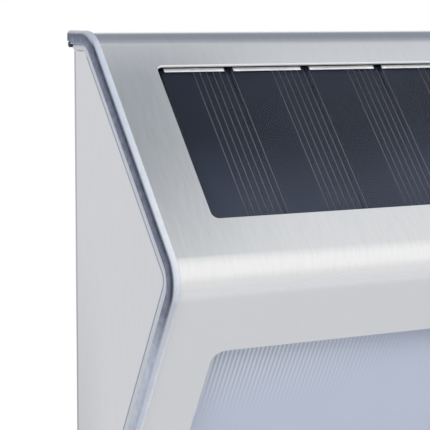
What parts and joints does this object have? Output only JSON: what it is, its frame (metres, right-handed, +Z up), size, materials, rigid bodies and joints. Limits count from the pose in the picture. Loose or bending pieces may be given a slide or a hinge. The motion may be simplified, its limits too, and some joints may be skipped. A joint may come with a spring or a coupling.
{
  "type": "solar fence light",
  "caption": "Wedge-shaped solar wall light: a bent brushed steel face in a clear cover, with a solar window above the knee and a frosted lamp window below.",
  "frame": {"origin": "middle of the face that lies on the wall", "axes": "+X across, to the right of someone looking at the wall; +Y into the wall; +Z up"},
  "size_m": [0.1, 0.0411, 0.0952],
  "materials": {
    "clear_cover": "clear moulding, polished",
    "brushed_face": "stainless, brushed across",
    "clear_seal": "translucent silicone",
    "black_rubber": "matt black cord",
    "brushed_side": "stainless, brushed upright",
    "white_moulding": "white moulding",
    "foam": "black foam",
    "panel_glass": "clear, glossy",
    "silver_ribbon": "tinned ribbon",
    "solar_cell": "blue-black silicon",
    "circuit_board": "green solder mask",
    "frosted_lens": "frosted, finely ribbed",
    "white_reflector": "white tray",
    "white_board": "white solder mask",
    "diode_lens": "clear dome with a yellow tint",
    "black_moulding": "black moulding",
    "screw_steel": "stainless screw",
    "battery_sleeve": "shrink sleeve over a steel can",
    "contact_metal": "nickel plated",
    "chip_black": "black epoxy",
    "ferrite": "grey ferrite",
    "switch_case": "black moulding",
    "switch_knob": "white moulding",
    "red_lead": "red insulation",
    "black_lead": "black insulation"
  },
  "bodies": {
    "lamp": {"front_cover": "clear_cover", "face_plate": "brushed_face", "cover_seal": "clear_seal", "wall_seal_cord": "black_rubber", "side_panel_left": "brushed_side", "side_panel_right": "brushed_side", "housing_tub": "white_moulding", "panel_tape": "foam", "panel_glass": "panel_glass", "bus_ribbons": "silver_ribbon", "solar_cells": "solar_cell", "panel_board": "circuit_board", "diffuser_lens": "frosted_lens", "reflector": "white_reflector", "led_board": "white_board", "led_left": "diode_lens", "led_right": "diode_lens", "rear_cover": "black_moulding", "rear_gasket": "foam", "rear_screws": "screw_steel", "battery_cell": "battery_sleeve", "contact_plate": "contact_metal", "contact_spring": "contact_metal", "control_board": "circuit_board", "board_screws": "screw_steel", "controller_chip": "chip_black", "inductor": "ferrite", "switch_body": "switch_case", "solar_lead_red": "red_lead", "battery_lead_red": "red_lead", "diode_lead_red": "red_lead", "solar_lead_black": "black_lead", "battery_lead_black": "black_lead", "diode_lead_black": "black_lead"},
    "door": {"battery_door": "black_moulding", "door_gasket": "foam", "door_screws": "screw_steel"},
    "switch": {"switch_knob": "switch_knob"}
  },
  "joints": [
    {"name": "battery_door_lift", "type": "slide", "parent": "lamp", "child": "door", "axis": [0, 1, 0], "range_m": [0, 0.02]},
    {"name": "switch_slide", "type": "slide", "parent": "lamp", "child": "switch", "axis": [1, 0, 0], "range_m": [0, 0.002]}
  ]
}
